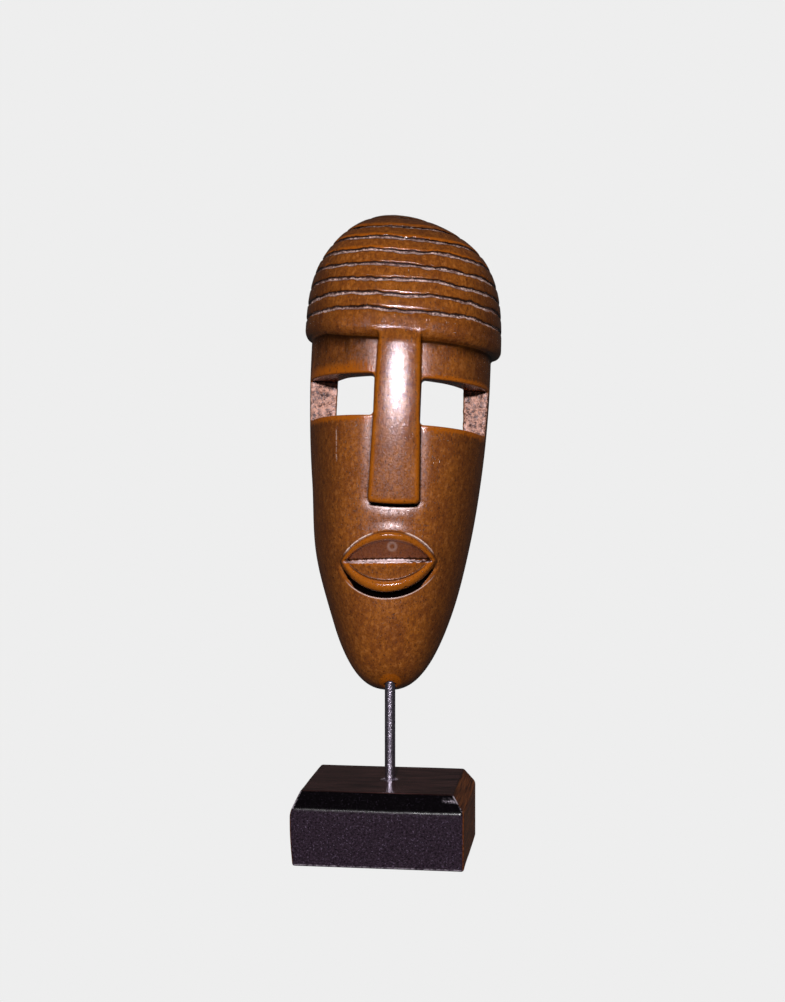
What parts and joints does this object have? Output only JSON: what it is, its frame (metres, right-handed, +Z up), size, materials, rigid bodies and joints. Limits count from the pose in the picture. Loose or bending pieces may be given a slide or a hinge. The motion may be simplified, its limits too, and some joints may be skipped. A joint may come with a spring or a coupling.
{
  "type": "carved wooden mask on stand",
  "caption": "Long oval carved wooden mask with a ribbed cap, bar nose and open rectangular eyes, on a round steel post that stands in a chamfered black wooden block.",
  "frame": {"origin": "centre of the block's underside, on the surface that it stands on", "axes": "+Z up along the post, +X to the viewer's right, -Y to the front, where the block's long face and the mask look, the mask turned a few degrees to the viewer's left"},
  "size_m": [0.0953, 0.0772, 0.304],
  "materials": {
    "black_painted_wood": "black satin paint over wood, brushed on, worn thin along the chamfer's edges",
    "steel_rod": "bright drawn steel with fine lengthwise marks",
    "stained_wood": "orange-brown stain under polished wax, dark in the corners, pale raw wood in the grooves and eye cuts"
  },
  "bodies": {
    "base": {"base_block": "black_painted_wood"},
    "post": {"post": "steel_rod"},
    "mask": {"mask": "stained_wood"}
  },
  "joints": [
    {"name": "post_lift", "type": "slide", "parent": "base", "child": "post", "axis": [0, 0, 1], "range_m": [0, 0.03]},
    {"name": "mask_swivel", "type": "hinge", "parent": "post", "child": "mask", "pos_m": [0.0015, 0, 0.077], "axis": [0, 0, 1], "continuous": true}
  ]
}
